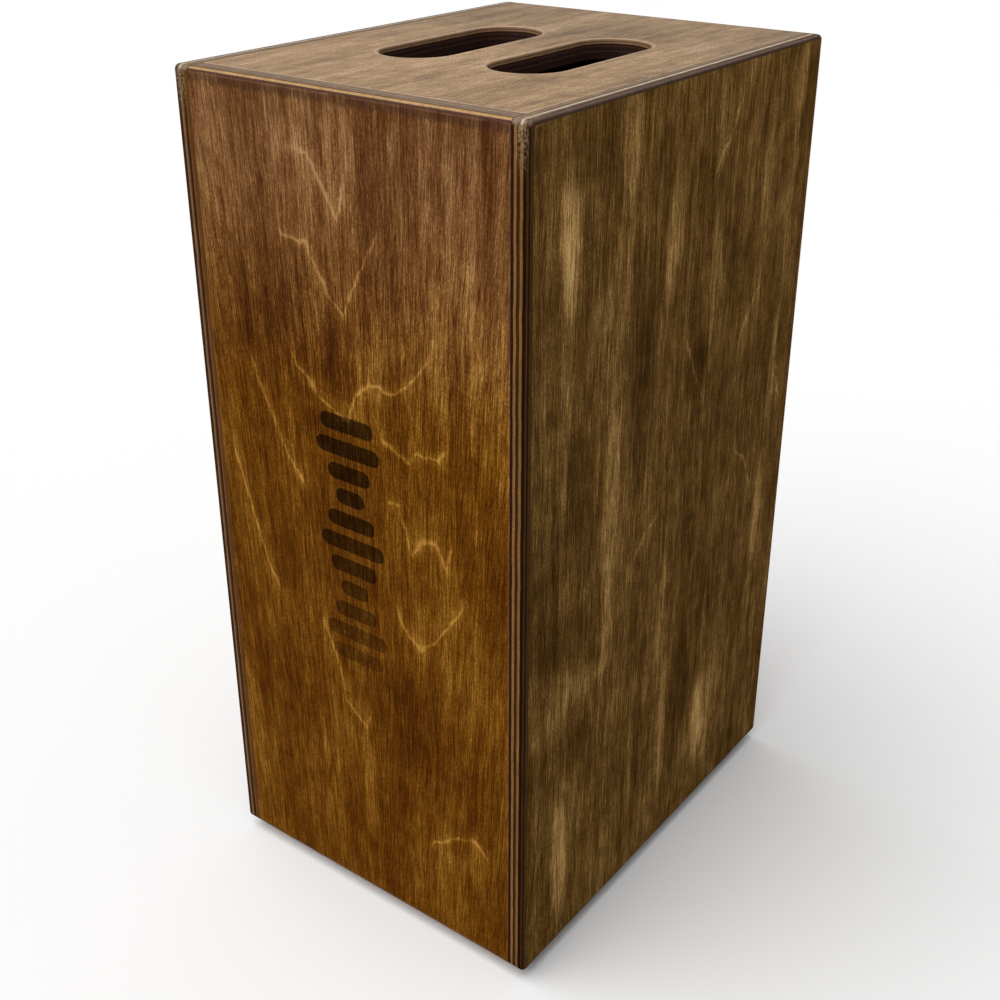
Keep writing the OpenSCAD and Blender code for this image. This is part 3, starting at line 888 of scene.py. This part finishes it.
board("front_panel", woods["front_panel"], 1, -1, rounded=("b-", "b+"))
board("left_side_panel", woods["left_side_panel"], 0, -1,
      rounded=("a-", "b-", "b+"), corners=(ARRIS, EDGE, EDGE, ARRIS))
board("right_side_panel", woods["right_side_panel"], 0, 1,
      rounded=("a-", "b-", "b+"), corners=(ARRIS, EDGE, EDGE, ARRIS))
board("seat_panel", woods["seat_panel"], 2, 1, holes=slot_holes())
board("floor_panel", woods["floor_panel"], 2, -1)
board("playing_plate", woods["playing_plate"], 1, 1,
      rounded=("a-", "a+", "b-", "b+"), corners=(EDGE,) * 4,
      holes=[{"at": spot, "half": 0, "r": PILOT_R, "count": 10,
              "flare": HEAD_R + 0.15 - PILOT_R, "sink": SINK} for spot in SCREWS])

# ---------------------------------------------------------------- screws of the playing plate

BLACK = metal("black_phosphate", (16, 16, 18), (44, 44, 46), 0.5, (0.5, 0.5, 0.5), 3.0, 0.6)
ZINC = metal("zinc_plate", (150, 152, 150), (206, 208, 206), 0.32, (0.3, 3.0, 3.0), 5.0)
BRASS = metal("brass_strip", (150, 112, 52), (204, 164, 92), 0.34, (6.0, 0.5, 0.4), 7.0)
WIRE = metal("drawn_wire", (148, 148, 146), (212, 212, 208), 0.26, (0.4, 0.4, 3.0), 9.0)
RUBBER = rubber()


def cross_head(bm, at, turn, head_r, rim, dome, reach, wide, deep):
    """Adds a screw head whose face has a tapered cross recess. Its top is at at, and turn
    takes +Z out of the surface."""
    arms = []
    for k in range(4):
        for r, off in ((wide * 0.55, -math.pi / 4), (reach, -wide / reach * 0.5),
                       (reach, wide / reach * 0.5)):
            arms.append((r, math.pi / 2 * k + off))
    top = [bm.verts.new(polar(at, turn, r, a, dome)) for r, a in arms]
    low = [bm.verts.new(polar(at, turn, r * 0.62, a, dome - deep)) for r, a in arms]
    face = ring_of(bm, at, turn, head_r - rim, dome, 40)
    stitch(bm, [top, low])
    bm.faces.new(low[::-1])
    edges = []
    for r in (top, face):
        for i in range(len(r)):
            pair = (r[i], r[(i + 1) % len(r)])
            edges.append(bm.edges.get(pair) or bm.edges.new(pair))
    bmesh.ops.triangle_fill(bm, use_beauty=True, use_dissolve=False, edges=edges)
    return face


def skirt(bm, at, turn, start, profile):
    """Carries a ring of points down through a profile of (radius, height) and closes it."""
    rings = [start] + [ring_of(bm, at, turn, radius, height, len(start))
                       for radius, height in profile]
    stitch(bm, rings)
    bm.faces.new(rings[-1])


def thread(core, crest, top, bottom, pitch):
    """Profile of a threaded shank down to its point."""
    steps = []
    z = top
    while z - pitch > bottom + 3:
        steps += [(core, z), (crest, z - pitch * 0.5), (core, z - pitch)]
        z -= pitch * 1.25
    return steps + [(core, bottom + 3), (0.15, bottom)]


def plate_screws():
    bm = bmesh.new()
    back = Matrix.Rotation(-math.pi / 2, 3, "X")
    rng = random.Random(4)
    for x, z in SCREWS:
        at = Vector((x, BOX_HIGH.y - 0.12, z)) * MM
        turn = back @ Matrix.Rotation(rng.uniform(0, math.pi / 2), 3, "Z")
        face = cross_head(bm, at, turn, HEAD_R, 0.3, 0.0, 1.75, 0.95, 1.25)
        skirt(bm, at, turn, face, [(HEAD_R - 0.08, -0.1), (HEAD_R, -0.3), (1.75, -SINK)]
              + thread(1.3, 1.75, -4.0, -21.8, 1.6))
    bmesh.ops.recalc_face_normals(bm, faces=bm.faces)
    finish_mesh("plate_screws_set", bm, BLACK, ["plate_screws"], sharp=38)


plate_screws()

# ---------------------------------------------------------------- frame inside

PINE_X = timber("timber_x", 0, 2.0)
PINE_Y = timber("timber_y", 1, 6.0)
PINE_Z = timber("timber_z", 2, 11.0)
for node in ("front_left_batten", "front_right_batten"):
    dress(node, PINE_Z, 0.6)
for node in ("left_seat_cleat", "right_seat_cleat", "left_floor_cleat", "right_floor_cleat"):
    dress(node, PINE_Y, 0.6)
dress("snare_bar", PINE_X, 0.8)
for node in ("left_snare_bracket", "right_snare_bracket"):
    dress(node, ZINC, 0.35)
dress("bracket_screws", ZINC, 0.15, 2)
for node in ("left_snare_clip", "right_snare_clip"):
    dress(node, BRASS, 0.2, 2)
dress("clip_screws", ZINC, 0.15, 2)


def strand_axes(node):
    """Foot and head of each rod of a CAD snare node, in metres."""
    found = []
    for group in loose_parts(node):
        middle = sum(group, Vector()) / len(group)
        high = [p for p in group if p.z > middle.z]
        low = [p for p in group if p.z <= middle.z]
        found.append((sum(low, Vector()) / len(low), sum(high, Vector()) / len(high)))
    return sorted(found, key=lambda ends: ends[0].x)


def coil(bm, foot, head, outer, wire, pitch, straight, around=8, sides=5):
    """Adds a coiled strand between two points: straight lead-in, then a helix."""
    along = head - foot
    length = along.length / MM
    along.normalize()
    side = along.orthogonal().normalized()
    other = along.cross(side)
    path = [foot]
    turns = int((length - straight) / pitch)
    r = (outer - wire) / 2
    for i in range(turns * around + 1):
        a = FULL_TURN * i / around
        path.append(foot + (along * (straight + i / around * pitch)
                            + (side * math.cos(a) + other * math.sin(a)) * r) * MM)
    rows = []
    for i, p in enumerate(path):
        ahead = (path[min(i + 1, len(path) - 1)] - path[max(i - 1, 0)]).normalized()
        out = ahead.cross(along)
        out = out.normalized() if out.length > 1e-6 else side
        up = ahead.cross(out)
        rows.append([bm.verts.new(p + (out * math.cos(FULL_TURN * k / sides)
                                       + up * math.sin(FULL_TURN * k / sides)) * wire / 2 * MM)
                     for k in range(sides)])
    stitch(bm, rows)
    bm.faces.new(rows[0])
    bm.faces.new(rows[-1][::-1])


for side in ("left", "right"):
    snare = bmesh.new()
    for foot, head in strand_axes(side + "_snare_wires"):
        coil(snare, foot, head, outer=1.9, wire=0.45, pitch=1.7, straight=12.0)
    bmesh.ops.recalc_face_normals(snare, faces=snare.faces)
    finish_mesh(side + "_snare_coils", snare, WIRE, [side + "_snare_wires"])

# ---------------------------------------------------------------- feet

FOOT_PROFILE = [
    (2.1, 0.0), (14.6, 0.0), (14.9, -0.15), (15.0, -0.5), (14.6, -2.6), (14.35, -2.9),
    (14.3, -3.3), (14.45, -3.6), (13.3, -7.3), (13.0, -7.8), (12.6, -8.0), (7.8, -8.0),
    (7.3, -7.85), (7.0, -7.4), (7.0, -4.0), (2.1, -4.0), (2.1, 0.0),
]
WASHER_PROFILE = [(2.1, 0.0), (5.85, 0.0), (6.0, -0.15), (6.0, -0.85), (5.85, -1.0), (2.1, -1.0),
                  (2.1, 0.0)]
WELL = 4            # depth of the open well under a foot
WASHER = 1          # thickness of its washer


def foot_middle(node):
    low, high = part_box(node)
    return Vector(((low.x + high.x) / 2, (low.y + high.y) / 2, BASE_Z * MM))


FEET = ("front_left_foot", "front_right_foot", "rear_left_foot", "rear_right_foot")
for node in FEET:
    foot_bm = bmesh.new()
    lathe(foot_bm, foot_middle(node), FOOT_PROFILE, 64)
    bmesh.ops.remove_doubles(foot_bm, verts=foot_bm.verts, dist=WELD)
    bmesh.ops.recalc_face_normals(foot_bm, faces=foot_bm.faces)
    finish_mesh(node + "_turned", foot_bm, RUBBER, [node], sharp=50)

washer_bm, screw_bm = bmesh.new(), bmesh.new()
DOWN = Matrix.Rotation(math.pi, 3, "X")
turn_rng = random.Random(9)
for node in FEET:
    seat_at = foot_middle(node) - Vector((0, 0, WELL * MM))
    lathe(washer_bm, seat_at, WASHER_PROFILE, 48)
    head_at = seat_at - Vector((0, 0, WASHER * MM))
    spin = DOWN @ Matrix.Rotation(turn_rng.uniform(0, math.pi / 2), 3, "Z")
    face = cross_head(screw_bm, head_at, spin, 3.0, 0.3, 2.0, 1.9, 1.0, 1.4)
    skirt(screw_bm, head_at, spin, face,
          [(3.1, 1.9), (3.7, 1.45), (3.95, 0.8), (4.0, 0.0), (2.0, 0.0)]
          + thread(1.5, 2.0, -1.0, -13.8, 1.8))
for bm in (washer_bm, screw_bm):
    bmesh.ops.remove_doubles(bm, verts=bm.verts, dist=WELD)
    bmesh.ops.recalc_face_normals(bm, faces=bm.faces)
finish_mesh("foot_washers_turned", washer_bm, ZINC, ["foot_washers"], sharp=40)
finish_mesh("foot_screws_set", screw_bm, ZINC, ["foot_screws"], sharp=38)

# ---------------------------------------------------------------- room, light and camera

FLOOR_HALF = 30     # half the floor's width, in metres
SUN_ENERGY = 2.32
SUN_SPREAD = math.radians(70)
SUN_WAY = Vector((0.22, 0.40, -0.89))
ROOM_LIGHT = 0.43   # strength of the room's light on matt surfaces
ROOM_SEEN = 0.97    # its strength where the camera sees it
AZIMUTH, ELEVATION = math.radians(36.9), math.radians(25.8)
EYE = Vector((466, -636, 646))
LENS, SENSOR, SHIFT = 49.1, 36, -0.05


def studio_floor():
    bm = bmesh.new()
    bmesh.ops.create_grid(bm, x_segments=8, y_segments=8, size=FLOOR_HALF)
    mesh = bpy.data.meshes.new("studio_floor")
    bm.to_mesh(mesh)
    bm.free()
    floor = bpy.data.objects.new("studio_floor", mesh)
    bpy.context.scene.collection.objects.link(floor)
    t = Tree("pale_floor")
    mesh.materials.append(t.set(Base_Color=(0.93, 0.93, 0.93, 1), Roughness=0.9))
    t.bsdf.inputs["Specular IOR Level"].default_value = 0.1
    floor.visible_glossy = False


studio_floor()
sky = bpy.data.lights.new("soft_overhead", "SUN")
sky.energy = SUN_ENERGY
sky.angle = SUN_SPREAD
sun = bpy.data.objects.new("soft_overhead", sky)
bpy.context.scene.collection.objects.link(sun)
sun.rotation_euler = SUN_WAY.to_track_quat("-Z", "Y").to_euler()


def studio_air():
    """A white room with a bright ceiling: gloss sees the ceiling and little of the floor."""
    world = bpy.data.worlds.new("studio")
    world.use_nodes = True
    world.cycles.sampling_method = "NONE"
    wires, air = world.node_tree.links, world.node_tree.nodes

    def graded(source, low, high, a, b):
        node = air.new("ShaderNodeMapRange")
        node.interpolation_type = "SMOOTHSTEP"
        for name, value in (("From Min", low), ("From Max", high)):
            node.inputs[name].default_value = value
        for name, value in (("Value", source), ("To Min", a), ("To Max", b)):
            if isinstance(value, float):
                node.inputs[name].default_value = value
            else:
                wires.new(value, node.inputs[name])
        return node.outputs["Result"]
    ray = air.new("ShaderNodeLightPath")
    where = air.new("ShaderNodeTexCoord")
    parts = air.new("ShaderNodeSeparateXYZ")
    wires.new(where.outputs["Generated"], parts.inputs[0])
    ceiling = graded(parts.outputs["Z"], -0.1, 0.9, 0.02, 1.0)
    strength = graded(ray.outputs["Is Glossy Ray"], 0.0, 1.0, ROOM_LIGHT, ceiling)
    strength = graded(ray.outputs["Is Camera Ray"], 0.0, 1.0, strength, ROOM_SEEN)
    wires.new(strength, air["Background"].inputs["Strength"])
    air["Background"].inputs["Color"].default_value = (1, 1, 1, 1)
    return world


bpy.context.scene.world = studio_air()
bpy.context.scene.view_settings.view_transform = "Standard"

camera = bpy.data.cameras.new("camera")
camera.sensor_width = SENSOR
camera.lens = LENS
camera.shift_y = SHIFT
camera.clip_start = 0.01
eye = bpy.data.objects.new("camera", camera)
bpy.context.scene.collection.objects.link(eye)
eye.location = EYE * MM
looking = Vector((-math.sin(AZIMUTH) * math.cos(ELEVATION),
                  math.cos(AZIMUTH) * math.cos(ELEVATION), -math.sin(ELEVATION)))
eye.rotation_euler = looking.to_track_quat("-Z", "Y").to_euler()
bpy.context.scene.camera = eye
